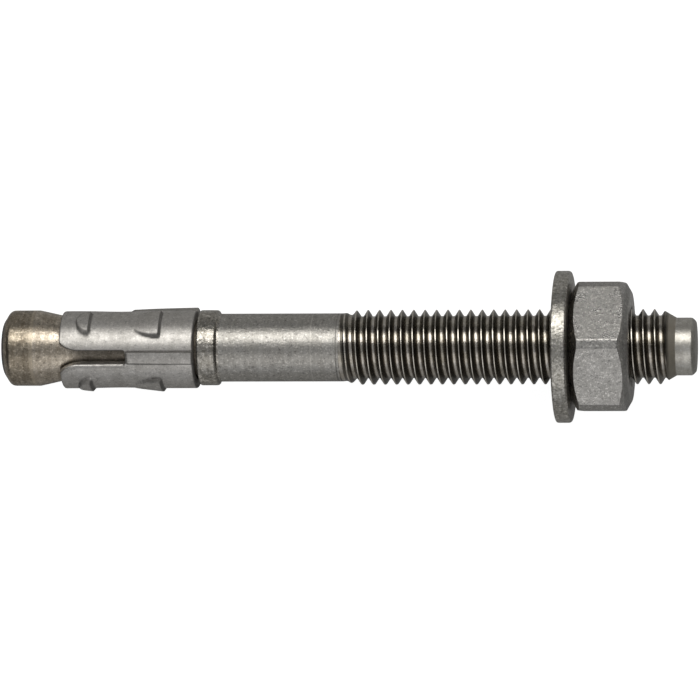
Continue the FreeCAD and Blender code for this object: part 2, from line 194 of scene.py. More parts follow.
@dataclass
class Shell:
    """Points, faces, face zones and point marks of a mesh, in the bolt's millimetres."""

    points: list[tuple[float, float, float]] = field(default_factory=list)
    faces: list[tuple[int, ...]] = field(default_factory=list)
    zones: list[int] = field(default_factory=list)
    marks: dict[str, list[float]] = field(default_factory=dict)

    def ring(self, along: float, radius: float, middle: float = 0.0, sides: int = SIDES) -> list[int]:
        """Add one ring of points round the axis, or a single point where it closes.

        Args:
            along: Place along the bolt.
            radius: Radius of the ring; zero closes the surface.
            middle: How far the ring's middle lies above the bolt's axis.
            sides: Points in the ring.

        Returns:
            The new points' numbers.
        """
        if radius < TINY:
            self.points.append((along, 0.0, middle))
            return [len(self.points) - 1]
        angles = [math.tau * i / sides for i in range(sides)]
        return self.loop([along] * sides, [radius] * sides, angles, middle)

    def loop(self, along: list[float], radii: list[float], angles: list[float],
             middle: float = 0.0) -> list[int]:
        """Add one closed row of points, each with its own place, radius and angle."""
        first = len(self.points)
        for place, radius, angle in zip(along, radii, angles):
            self.points.append((place, radius * math.cos(angle), middle + radius * math.sin(angle)))
        return list(range(first, first + len(angles)))

    def face(self, corners: tuple[int | None, ...], zone: int = 0) -> None:
        """Add one face, unless a corner of it is missing."""
        if None not in corners:
            self.faces.append(corners)
            self.zones.append(zone)

    def band(self, lower: list[int], upper: list[int], zone: int = 0) -> None:
        """Join two rings, or a ring and a closing point, with faces that look outwards."""
        count = max(len(lower), len(upper))
        for i in range(count):
            j = (i + 1) % count
            if len(lower) == 1:
                self.face((lower[0], upper[j], upper[i]), zone)
            elif len(upper) == 1:
                self.face((lower[i], lower[j], upper[0]), zone)
            else:
                self.face((lower[i], lower[j], upper[j], upper[i]), zone)

    def lathe(self, outline: list[tuple[float, float]], zone: int = 0, middle: float = 0.0,
              sides: int = SIDES) -> None:
        """Turn an outline of places along and radii about the bolt's axis."""
        rings = [self.ring(along, radius, middle, sides) for along, radius in outline]
        for lower, upper in zip(rings, rings[1:]):
            self.band(lower, upper, zone)

    def take(self, mesh: Mesh, zone: int, outwards: bool = True) -> None:
        """Add a mesh that a node tree made, its faces looking away from the axis or to it.

        Args:
            mesh: A mesh in the bolt's millimetres.
            zone: The zone that its faces get.
            outwards: Whether its faces look away from the axis.
        """
        first = len(self.points)
        self.points.extend(tuple(v.co) for v in mesh.vertices)
        away = sum(p.normal.y * p.center.y + p.normal.z * p.center.z for p in mesh.polygons)
        turned = (away > 0) != outwards
        for polygon in mesh.polygons:
            corners = [first + v for v in polygon.vertices]
            self.face(tuple(reversed(corners)) if turned else tuple(corners), zone)
        for attribute in mesh.attributes:
            if attribute.domain == "POINT" and attribute.data_type == "FLOAT":
                values = [0.0] * len(mesh.vertices)
                attribute.data.foreach_get("value", values)
                self.mark(attribute.name, values)

    def mark(self, name: str, values: list[float]) -> None:
        """Give the newest points a mark, and the ones before them zero."""
        kept = self.marks.get(name, [])
        kept += [0.0] * (len(self.points) - len(values) - len(kept))
        self.marks[name] = kept + list(values)

    def piece(self, name: str, axis: BoltAxis, materials: list[Material],
              sharp: float = 32.0, recalculate: bool = False) -> Object:
        """Lay the shell on the bolt's axis as an object.

        Args:
            name: The piece's name.
            axis: The bolt's axis.
            materials: One material for each zone.
            sharp: Angle in degrees past which an edge isn't shaded smooth.
            recalculate: Whether a closed shell's faces are all turned outwards.

        Returns:
            The piece, at the origin, its place in its mesh.
        """
        mesh = bpy.data.meshes.new(name)
        mesh.from_pydata(self.points, [], self.faces)
        for material in materials:
            mesh.materials.append(material)
        mesh.polygons.foreach_set("material_index", self.zones)
        self.mark("along", [p[0] for p in self.points])
        for mark, values in self.marks.items():
            values = values + [0.0] * (len(self.points) - len(values))
            mesh.attributes.new(mark, "FLOAT", "POINT").data.foreach_set("value", values)
        shape = bmesh.new()
        shape.from_mesh(mesh)
        bmesh.ops.remove_doubles(shape, verts=shape.verts, dist=WELD)
        bmesh.ops.dissolve_degenerate(shape, edges=shape.edges, dist=WELD / 4)
        if recalculate:
            bmesh.ops.recalc_face_normals(shape, faces=shape.faces)
        shape.to_mesh(mesh)
        shape.free()
        mesh.transform(axis.matrix())
        mesh.shade_smooth()
        mesh.set_sharp_from_angle(angle=math.radians(sharp))
        return linked(name, mesh)


# Node trees


class Value:
    """A socket of a node tree. Plain arithmetic on it adds Math nodes."""

    def __init__(self, wiring: Wiring, socket: NodeSocket) -> None:
        """Hold a socket of the wiring's tree."""
        self.wiring = wiring
        self.socket = socket

    def __add__(self, other: Value | float) -> Value:
        """Add a value."""
        return self.wiring.math("ADD", self, other)

    def __sub__(self, other: Value | float) -> Value:
        """Take a value away."""
        return self.wiring.math("SUBTRACT", self, other)

    def __rsub__(self, other: float) -> Value:
        """Take this value away from a number."""
        return self.wiring.math("SUBTRACT", other, self)

    def __mul__(self, other: Value | float) -> Value:
        """Multiply by a value."""
        return self.wiring.math("MULTIPLY", self, other)

    def __truediv__(self, other: Value | float) -> Value:
        """Divide by a value."""
        return self.wiring.math("DIVIDE", self, other)

    def __abs__(self) -> Value:
        """Drop the sign."""
        return self.wiring.math("ABSOLUTE", self)

    def ramp(self, low: Value | float, high: Value | float, to_low: float = 0.0, to_high: float = 1.0,
             soft: bool = True) -> Value:
        """Map the range from low to high onto another, held at both ends."""
        mapped = self.wiring.node("ShaderNodeMapRange", {
            "Value": self, "From Min": low, "From Max": high, "To Min": to_low, "To Max": to_high,
        }, interpolation_type="SMOOTHSTEP" if soft else "LINEAR")
        return Value(self.wiring, mapped.outputs["Result"])


class Wiring:
    """Adds nodes to a tree and wires them up."""

    def __init__(self, tree: NodeTree) -> None:
        """Start on a tree."""
        self.tree = tree

    @classmethod
    def emptied(cls, owner: Material | World) -> Wiring:
        """Turn an owner's nodes on, empty its tree and start on it."""
        owner.use_nodes = True
        owner.node_tree.nodes.clear()
        return cls(owner.node_tree)

    def socket(self, name: str, kind: str = "NodeSocketFloat", way: str = "INPUT",
               default: object = None) -> str:
        """Add a named input or output to the tree and return its identifier."""
        made = self.tree.interface.new_socket(name=name, in_out=way, socket_type=kind)
        if default is not None:
            made.default_value = default
        return made.identifier

    def given(self) -> dict[str, Value]:
        """The tree's own inputs, by name."""
        return self.outputs(self.node("NodeGroupInput"))

    def outputs(self, node: Node) -> dict[str, Value]:
        """A node's outputs, by name."""
        return {socket.name: Value(self, socket) for socket in node.outputs}

    def node(self, kind: str, inputs: dict | None = None, **settings: object) -> Node:
        """Add a node.

        Args:
            kind: Blender's name for the type of node.
            inputs: Values, sockets or plain numbers, by input name or number.
            settings: The node's own settings.

        Returns:
            The node.
        """
        made = self.tree.nodes.new(kind)
        for name, setting in settings.items():
            setattr(made, name, setting)
        for key, given in (inputs or {}).items():
            if isinstance(given, Value):
                given = given.socket
            if isinstance(given, NodeSocket):
                self.tree.links.new(given, made.inputs[key])
            else:
                made.inputs[key].default_value = given
        return made

    def math(self, operation: str, *given: Value | float) -> Value:
        """Add a Math node and return its output."""
        made = self.node("ShaderNodeMath", dict(enumerate(given)), operation=operation)
        return Value(self, made.outputs[0])

    def mix(self, share: Value, first: Colour | NodeSocket, second: Colour) -> NodeSocket:
        """Mix two colours and return the result."""
        inputs: dict = {0: share}
        for key, colour in ((6, first), (7, second)):
            inputs[key] = (*colour, 1.0) if isinstance(colour, tuple) else colour
        return self.node("ShaderNodeMix", inputs, data_type="RGBA").outputs[2]

    def noise(self, vector: Value, scale: Value, detail: float, roughness: float = 0.5,
              distortion: float = 0.0) -> Value:
        """Add noise over a vector."""
        return Value(self, self.node("ShaderNodeTexNoise", {
            "Vector": vector, "Scale": scale, "Detail": detail, "Roughness": roughness,
            "Distortion": distortion}).outputs[0])

    def mapped(self, vector: Value, **inputs: Colour) -> Value:
        """Turn or stretch a vector."""
        return Value(self, self.node("ShaderNodeMapping", {"Vector": vector, **inputs}).outputs[0])

    def attribute(self, name: str) -> Value:
        """Read a mark that the mesh's points have."""
        return Value(self, self.node("ShaderNodeAttribute", attribute_name=name).outputs["Fac"])


class ThreadTree:
    """A Geometry Nodes tree that winds one screw thread round the X axis.

    Its grid is sheared by one pitch per turn, so that crests and roots follow its rows.
    """

    def __init__(self) -> None:
        """Build the tree, which by default cuts no lead, no run-out and no mouth."""
        self.tree = bpy.data.node_groups.new("screw_thread", "GeometryNodeTree")
        self.wiring = Wiring(self.tree)
        self.inputs: dict[str, str] = {}
        for name, default in (
            ("Start", 0.0), ("End", 10.0), ("Pitch", 1.5), ("Root Radius", 4.0), ("Crest Radius", 4.9),
            ("Crest Width", 0.2), ("Root Width", 0.26), ("Phase", 0.0), ("Blank Radius", 4.5),
            ("Fade Length", 0.0), ("Run Out", 0.0), ("Lead Length", 1000.0), ("Lead Radius", 9.0),
            ("Least Radius", 0.0), ("Mouth Radius", 0.0), ("Mouth Slope", 1.0),
        ):
            self.inputs[name] = self.wiring.socket(name, default=default)
        for name, count in (("Sides", SIDES), ("Rows Per Pitch", 14)):
            self.inputs[name] = self.wiring.socket(name, "NodeSocketInt", default=count)
        self.inputs["Material"] = self.wiring.socket("Material", "NodeSocketMaterial")
        self.wiring.socket("Geometry", "NodeSocketGeometry", "OUTPUT")
        self._wire()

    def _wire(self) -> None:
        """Wire the grid, its helical profile, both ends and the material."""
        w = self.wiring
        given = w.given()
        pitch, start, end = given["Pitch"], given["Start"], given["End"]
        step = pitch / given["Rows Per Pitch"]
        rows = w.math("CEIL", (end - start + pitch) / step) + 1.0
        span = rows * step
        grid = w.node("GeometryNodeMeshGrid", {
            "Size X": span, "Size Y": 1.0, "Vertices X": rows + 1.0, "Vertices Y": given["Sides"] + 1.0})
        place = w.outputs(w.node("ShaderNodeSeparateXYZ", {
            0: w.node("GeometryNodeInputPosition").outputs[0]}))
        turn = place["Y"] + 0.5
        sheared = place["X"] + span * 0.5 + start - pitch + turn * pitch
        along = w.math("MINIMUM", w.math("MAXIMUM", sheared, start), end)

        # Distance from the nearest crest's middle; the whole turns only keep the fraction positive
        whole_turns = 100.0
        wound = sheared / pitch - turn - given["Phase"]
        away = abs(w.math("FRACT", wound + (whole_turns + 0.5)) - 0.5) * pitch
        height = away.ramp(given["Crest Width"] * 0.5, (pitch - given["Root Width"]) * 0.5, 1.0, 0.0,
                           soft=False)
        wave = given["Root Radius"] + height * (given["Crest Radius"] - given["Root Radius"])
        whole = w.math("MAXIMUM", wave, given["Least Radius"])

        # The first crests rise out of the blank, and the lead cuts the last ones down
        share = (along - start).ramp(0.0, w.math("MAXIMUM", given["Fade Length"], TINY))
        risen = given["Blank Radius"] + (whole - given["Blank Radius"]) * share
        left = end - along
        slope = (given["Crest Radius"] - given["Lead Radius"]) / w.math("MAXIMUM", given["Lead Length"], TINY)
        lead = given["Lead Radius"] + left * slope
        cut = w.math("MINIMUM", risen, lead)

        # The last root is filled up to the lead, and the mouth opens both ends
        filled_share = 0.4
        filled = left.ramp(given["Run Out"], given["Run Out"] * filled_share)
        filled = filled * w.math("GREATER_THAN", given["Run Out"], TINY)
        run_out = cut + (lead - cut) * filled
        mouth = given["Mouth Radius"] - w.math("MINIMUM", left, along - start) * given["Mouth Slope"]
        radius = w.math("MAXIMUM", run_out, mouth)

        angle = turn * math.tau
        laid = w.node("ShaderNodeCombineXYZ", {
            "X": along, "Y": radius * w.math("COSINE", angle), "Z": radius * w.math("SINE", angle)})
        made = w.node("GeometryNodeStoreNamedAttribute", {
            "Geometry": grid.outputs["Mesh"], "Name": "height", "Value": height * (1.0 - filled),
        }, data_type="FLOAT", domain="POINT")
        for kind, inputs in (
            ("GeometryNodeSetPosition", {"Position": laid.outputs["Vector"]}),
            ("GeometryNodeMergeByDistance", {"Distance": WELD * 0.75}),
            ("GeometryNodeRealizeInstances", {}),
            ("GeometryNodeSetMaterial", {"Material": given["Material"]}),
        ):
            made = w.node(kind, {"Geometry": made.outputs["Geometry"], **inputs})
        w.node("NodeGroupOutput", {"Geometry": made.outputs["Geometry"]})

    def wind(self, material: Material, **sizes: float) -> Mesh:
        """Make one thread.

        Args:
            material: Its finish.
            sizes: Values for the tree's inputs, their names in small letters with underscores.

        Returns:
            The thread as a plain mesh, in the bolt's millimetres.
        """
        carrier = linked("thread_carrier", bpy.data.meshes.new("thread_carrier"))
        modifier = carrier.modifiers.new("screw_thread", "NODES")
        modifier.node_group = self.tree
        for name, value in sizes.items():
            modifier[self.inputs[name.replace("_", " ").title()]] = value
        modifier[self.inputs["Material"]] = material
        bpy.context.view_layer.update()
        made = bpy.data.meshes.new_from_object(
            carrier.evaluated_get(bpy.context.evaluated_depsgraph_get()))
        carrier.modifiers.remove(modifier)
        bpy.data.objects.remove(carrier)
        return made


# Shared effects in the finishes


class Effects:
    """Shader node groups that more than one finish uses."""

    def __init__(self) -> None:
        """Build the groups."""
        self.grain = self._grain()
        self.mottle = self._mottle()
        self.scratches = self._scratches()

    @staticmethod
    def _start(name: str, inputs: dict[str, float], *outputs: str) -> tuple[Wiring, dict[str, Value]]:
        """Open a group with a Vector input, the given inputs and number outputs."""
        wiring = Wiring(bpy.data.node_groups.new(name, "ShaderNodeTree"))
        wiring.socket("Vector", "NodeSocketVector")
        for label, default in inputs.items():
            wiring.socket(label, default=default)
        for label in outputs:
            wiring.socket(label, way="OUTPUT")
        return wiring, wiring.given()

    def _grain(self) -> NodeTree:
        """Fine sparkling pits and specks of blasted or rolled steel."""
        w, given = self._start("steel_grain", {"Scale": 3000.0}, "Height", "Specks", "Glints")
        vector, scale, rough = given["Vector"], given["Scale"], 0.6
        height = w.noise(vector, scale, 2.0, rough) * 0.6 + w.noise(vector, scale * 0.4, 2.0, rough) * 0.4
        high, low = (0.53, 0.66), (0.47, 0.36)
        w.node("NodeGroupOutput", {
            "Height": height, "Specks": height.ramp(*high), "Glints": height.ramp(*low)})
        return w.tree

    def _mottle(self) -> NodeTree:
        """Soft patches, and rings left by turning and drawing, where the steel is darker."""
        w, given = self._start("steel_mottle", {"Scale": 400.0, "Cover": 0.5, "Rings": 0.3}, "Mask")
        drawn_out, reach = (1.0, 0.06, 0.06), 0.13
        cloud = w.noise(given["Vector"], given["Scale"], 6.0, 0.72)
        turned = w.noise(w.mapped(given["Vector"], Scale=drawn_out), given["Scale"] * 3.0, 3.0, 0.6)
        both = cloud * (1.0 - given["Rings"]) + turned * given["Rings"]
        middle = 0.62 - given["Cover"] * 0.24
        w.node("NodeGroupOutput", {"Mask": both.ramp(middle - reach, middle + reach, soft=False)})
        return w.tree

    def _scratches(self) -> NodeTree:
        """Thin marks drawn out along one way, broken up into short strokes."""
        w, given = self._start("steel_scratches", {"Scale": 900.0, "Amount": 0.5}, "Mask")
        half_width = 0.035
        strokes = w.noise(given["Vector"], given["Scale"], 2.0, distortion=0.6)
        thin = abs(strokes - 0.5).ramp(0.0, half_width, 1.0, 0.0)
        keep = w.noise(given["Vector"], given["Scale"] * 0.3, 2.0).ramp(0.75 - given["Amount"] * 0.4, 0.8)
        w.node("NodeGroupOutput", {"Mask": thin * keep})
        return w.tree


def shaded(colour: Colour, share: float) -> Colour:
    """A colour made darker or lighter."""
    return tuple(min(1.0, part * share) for part in colour)


@dataclass(frozen=True)
class Band:
    """A ring of the bolt that is duller or brighter: where it starts, ends and how strongly."""

    start: float
    end: float
    strength: float = 0.8
    soft: float = 0.12
    tone: float = 0.12

    def mask(self, w: Wiring) -> Value:
        """A mask that covers the ring."""
        along = w.attribute("along")
        starts = along.ramp(self.start - self.soft, self.start + self.soft)
        ends = along.ramp(self.end + self.soft, self.end - self.soft)
        return starts * ends * self.strength


@dataclass(frozen=True)
class Steel:
    """One steel finish, with its colours, its gloss and its marks, some of them painted shade and painted
    highlight.
    """

    name: str
    colour: Colour
    stain_and_shade: Colour
    cover: float = 0.5
    rings: float = 0.3
    roughness: float = 0.36
    roughness_swing: float = 0.1
    grain_scale: float = 4600.0
    grain_bump: float = 0.3
    grain_depth: float = 0.00005
    specks: float = 0.3
    glints: float = 0.3
    mottle_scale: float = 420.0
    scratches: float = 0.3
    scratch_stretch: Colour = (0.25, 1.0, 1.0)
    dark_share: float = 0.35
    light_share: float = 1.7
    crest_shine: float = 0.0
    # Painted shade on a thread's flanks between crest and root, and its tone
    flank_shade: float = 0.0
    flank_shade_tone: float = 0.3
    # Painted shade on the sleeve's steep places and its tone; roughness gained and metal lost under every
    # dark mask
    soil: float = 0.0
    painted_shade_tone: float = 0.12
    darkened_roughness: float = 0.2
    darkened_cover: float = 0.7
    dark_bands: tuple[Band, ...] = ()
    bright_bands: tuple[Band, ...] = ()

    def material(self, effects: Effects, axis: BoltAxis) -> Material:
        """Build the finish.

        Args:
            effects: The shared groups.
            axis: The bolt's axis, which patterns are turned to.

        Returns:
            The material.
        """
        made = bpy.data.materials.new(self.name)
        w = Wiring.emptied(made)
        turned = w.mapped(w.outputs(w.node("ShaderNodeTexCoord"))["Object"],
                          Rotation=(0.0, axis.tilt(), 0.0))
        grain = self._placed(w, effects.grain, turned, Scale=self.grain_scale)
        mottle = self._placed(w, effects.mottle, turned, Scale=self.mottle_scale, Cover=self.cover,
                              Rings=self.rings)["Mask"]
        scratches = self._placed(w, effects.scratches, w.mapped(turned, Scale=self.scratch_stretch),
                                 Amount=self.scratches)["Mask"]

        light = shaded(self.colour, self.light_share)
        colour = w.mix(mottle, self.colour, self.stain_and_shade)
        colour = w.mix(grain["Specks"] * self.specks, colour, shaded(self.colour, self.dark_share))
        colour = w.mix(grain["Glints"] * self.glints, colour, light)
        colour = w.mix(scratches * self.scratches, colour, light)
        # Painted shade darkens the thread's flanks between crest and root
        if self.flank_shade > 0.0:
            height = w.attribute("height")
            foot, brow, crest = (0.06, 0.2), (0.98, 0.8), (0.9, 1.0)
            flank = height.ramp(*foot) * height.ramp(*brow)
            colour = w.mix(flank * self.flank_shade, colour, shaded(self.stain_and_shade, self.flank_shade_tone))
            colour = w.mix(height.ramp(*crest) * self.crest_shine, colour, light)
        rough = mottle * self.roughness_swing + (self.roughness - self.roughness_swing / 2)
        bare: Value | float = 1.0
        # Under each dark mask the colour darkens, roughness rises and metal falls; on the head's end, the
        # neck, the chamfers and the sleeve's steep places this is painted shade
        masks = [(band.mask(w), band.tone) for band in self.dark_bands]
        if self.soil > 0.0:
            masks.append((w.attribute("soil") * self.soil, self.painted_shade_tone))
        for mask, tone in masks:
            colour = w.mix(mask, colour, shaded(self.stain_and_shade, tone))
            rough = rough + mask * self.darkened_roughness
            bare = bare - mask * self.darkened_cover
        # Bright bands lighten the colour; the head's is a painted highlight
        for band in self.bright_bands:
            colour = w.mix(band.mask(w), colour, light)
        bump = w.node("ShaderNodeBump", {"Height": grain["Height"], "Strength": self.grain_bump,
                                          "Distance": self.grain_depth})
        metal = w.node("ShaderNodeBsdfPrincipled", {
            "Base Color": colour, "Roughness": rough, "Metallic": bare, "Normal": bump.outputs[0]})
        w.node("ShaderNodeOutputMaterial", {"Surface": metal.outputs[0]})
        return made

    @staticmethod
    def _placed(w: Wiring, group: NodeTree, vector: Value, **values: float) -> dict[str, Value]:
        """Place a shared group with its own values and return its outputs."""
        return w.outputs(w.node("ShaderNodeGroup", {"Vector": vector, **values}, node_tree=group))


BOLT_STEELS = {
    # The head's end is darkened with painted shade, and the ring where its cone starts gets a painted
    # highlight
    Zone.HEAD: Steel(
        "head_steel", (0.43, 0.375, 0.295), (0.20, 0.165, 0.12), cover=0.5, rings=0.5, roughness=0.33,
        grain_bump=0.8, specks=0.8, glints=0.7, mottle_scale=800.0, scratches=0.8,
        dark_bands=(Band(-0.5, 0.42, 0.9, 0.2),), bright_bands=(Band(3.95, 4.5, 0.35),)),
    # The neck, under the sleeve, is darkened with painted shade
    Zone.CONE: Steel(
        "cone_steel", (0.56, 0.50, 0.415), (0.30, 0.25, 0.19), cover=0.35, rings=0.35, roughness=0.315,
        grain_bump=0.7, specks=0.8, glints=0.6, mottle_scale=700.0, scratches=0.8,
        dark_bands=(Band(9.9, 26.5, 0.62, 1.2),)),
    Zone.COLLAR: Steel(
        "collar_steel", (0.53, 0.505, 0.46), (0.22, 0.205, 0.17), cover=0.42, rings=0.2, roughness=0.27,
        grain_scale=3000.0, grain_bump=1.3, specks=0.95, glints=0.8, mottle_scale=1700.0),
    Zone.SHANK: Steel(
        "shank_steel", (0.47, 0.455, 0.425), (0.36, 0.345, 0.315), cover=0.4, rings=0.4, roughness=0.37,
        grain_bump=1.0, specks=0.7, glints=0.6, mottle_scale=700.0,
        dark_bands=(Band(44.35, 44.5, 0.6, 0.08),), bright_bands=(Band(41.05, 41.2, 0.3, 0.06),)),
    # The thread's flanks are darkened with painted shade
    Zone.THREAD: Steel(
        "thread_steel", (0.60, 0.56, 0.51), (0.34, 0.31, 0.25), cover=0.42, rings=0.1, roughness=0.24,
        grain_bump=0.4, specks=0.45, crest_shine=0.3, flank_shade=0.88,
        dark_bands=(Band(87.6, 88.7, 0.9, 0.3, tone=0.6),)),
    # The dog point's end chamfer is darkened with painted shade
    Zone.POINT: Steel(
        "point_steel", (0.66, 0.64, 0.585), (0.41, 0.39, 0.35), cover=0.35, rings=0.35, roughness=0.37,
        grain_bump=0.45, specks=0.4, dark_bands=(Band(90.7, 92.0, 0.5, 0.1),)),
}
# The sleeve's steep places are darkened with painted shade
SLEEVE_STEEL = Steel(
    "sleeve_steel_skin", (0.575, 0.557, 0.53), (0.45, 0.433, 0.405), cover=0.4, rings=0.15, roughness=0.45,
    grain_bump=0.5, specks=0.5, glints=0.35, scratches=0.5, soil=0.78)
WASHER_STEEL = Steel(
    "washer_steel_skin", (0.55, 0.53, 0.49), (0.24, 0.23, 0.19), cover=0.35, rings=0.1, roughness=0.32,
    grain_scale=3600.0, grain_bump=1.3, specks=0.95, glints=0.7, mottle_scale=2600.0)
# The chamfer at the nut's outer face is darkened with painted shade
NUT_STEEL = Steel(
    "nut_steel_skin", (0.465, 0.453, 0.432), (0.39, 0.38, 0.358), cover=0.45, rings=0.1, roughness=0.3,
    grain_scale=6200.0, grain_bump=1.1, specks=0.85, glints=1.0, dark_bands=(Band(82.1, 82.62, 0.4, 0.1),))


# The anchor's pieces


@dataclass(frozen=True)
class ScrewThread:
    """The metric thread that the bolt and the nut share, in millimetres."""

    pitch: float = 1.5
    crest_radius: float = 4.9
    root_radius: float = 4.05
    crest_width: float = 0.1
    root_width: float = 0.3
    phase: float = 0.147

    def sizes(self, play: float = 0.0) -> dict[str, float]:
        """The sizes of a thread that stands off this one by some play, as the tree's inputs."""
        return {"pitch": self.pitch, "phase": self.phase,
                "crest_width": self.crest_width, "crest_radius": self.crest_radius + play,
                "root_width": self.root_width, "root_radius": self.root_radius + play}


@dataclass
class AnchorBolt:
    """The one-piece bolt: cone end, neck, collar, shank, rolled thread and dog point."""

    boss_radius: float = 3.5
    bevel_length: float = 0.95
    head_radius: float = 4.97
    head_length: float = 4.7
    rim_length: float = 0.3
    cone_length: float = 6.4
    neck_radius: float = 3.55
    neck_length: float = 15.0
    collar_radius: float = 4.94
    collar_length: float = 2.45
    shank_radius: float = 4.46
    shank_length: float = 16.2
    shoulder_length: float = 0.4
    thread_length: float = 42.35
    fade_length: float = 2.6
    lead_length: float = 1.5
    cut_length: float = 1.95
    point_radius: float = 3.76
    point_length: float = 2.55
    point_bevel: float = 0.5
    thread: ScrewThread = field(default_factory=ScrewThread)

    @property
    def collar_start(self) -> float:
        """Place of the collar along the bolt."""
        return self.head_length + self.cone_length + self.neck_length

    @property
    def shank_start(self) -> float:
        """Place of the shank along the bolt."""
        return self.collar_start + self.collar_length

    @property
    def thread_start(self) -> float:
        """Place where the thread begins."""
        return self.shank_start + self.shank_length

    @property
    def point_start(self) -> float:
        """Place where the dog point begins."""
        return self.thread_start + self.thread_length + self.lead_length

    @property
    def length(self) -> float:
        """The whole bolt."""
        return self.point_start + self.point_length

    def _outlines(self) -> dict[Zone, list[tuple[float, float]]]:
        """The rounded outline of each zone that is turned."""
        rim_start = self.head_length - self.rim_length
        shoulder_end = self.shank_start + self.shoulder_length
        return {
            Zone.HEAD: eased([
                (0.0, 0.0, 0.0),
                (0.0, self.boss_radius * 0.5, 0.0),
                (0.0, self.boss_radius, 0.25),
                (self.bevel_length, self.head_radius, 0.5),
                (rim_start, self.head_radius, 0.0),
            ], 6),
            Zone.CONE: eased([
                (rim_start, self.head_radius, 0.0),
                (self.head_length, self.head_radius, 0.25),
                (self.head_length + self.cone_length, self.neck_radius, 0.8),
                (self.collar_start, self.neck_radius, 0.0),
            ], 6),
            Zone.COLLAR: eased([
                (self.collar_start, self.neck_radius, 0.0),
                (self.collar_start, self.collar_radius, 0.25),
                (self.shank_start - 0.05, self.collar_radius, 0.3),
                (self.shank_start + 0.12, self.shank_radius, 0.15),
                (shoulder_end, self.shank_radius, 0.0),
            ]),
            Zone.SHANK: [(shoulder_end, self.shank_radius), (self.thread_start, self.shank_radius)],
            Zone.POINT: eased([
                (self.point_start, self.point_radius, 0.0),
                (self.length - self.point_bevel, self.point_radius, 0.2),
                (self.length, self.point_radius - self.point_bevel, 0.15),
                (self.length, self.point_radius * 0.4, 0.0),
                (self.length, 0.0, 0.0),
            ]),
        }

    def build(self, threads: ThreadTree, effects: Effects, axis: BoltAxis) -> Object:
        """Make the bolt.

        Args:
            threads: The tree that winds screw threads.
            effects: The shared shader groups.
            axis: The bolt's axis.

        Returns:
            The bolt.
        """
        finishes = [BOLT_STEELS[zone].material(effects, axis) for zone in Zone]
        outlines = self._outlines()
        shell = Shell()
        for zone in Zone:
            if zone in outlines:
                shell.lathe(outlines[zone], zone.value)
                continue
            shell.take(threads.wind(
                finishes[zone.value], start=self.thread_start, end=self.point_start,
                blank_radius=self.shank_radius, fade_length=self.fade_length,
                lead_length=self.cut_length, lead_radius=self.point_radius, run_out=self.lead_length,
                **self.thread.sizes()), zone.value)
        return shell.piece("bolt_steelwork", axis, finishes)


@dataclass
class Washer:
    """The flat washer, with a sheared rim, standing loose on the thread."""

    start: float = 72.95
    thickness: float = 2.0
    radius: float = 9.898
    bore_radius: float = 5.4
    bore_round: float = 0.2
    rim_rounds: tuple[float, float] = (0.3, 0.42)
    lift: float = 0.3

    def build(self, effects: Effects, axis: BoltAxis) -> Object:
        """Make the washer."""
        shell = Shell()
        end = self.start + self.thickness
        shell.lathe(eased([
            (self.start + self.thickness / 2, self.bore_radius, 0.0),
            (self.start, self.bore_radius, self.bore_round),
            (self.start, self.radius, self.rim_rounds[0]),
            (end, self.radius, self.rim_rounds[1]),
            (end, self.bore_radius, self.bore_round),
            (self.start + self.thickness / 2, self.bore_radius, 0.0),
        ], 5), middle=self.lift, sides=SIDES + SIDES // 2)
        return shell.piece("washer_steelwork", axis, [WASHER_STEEL.material(effects, axis)])


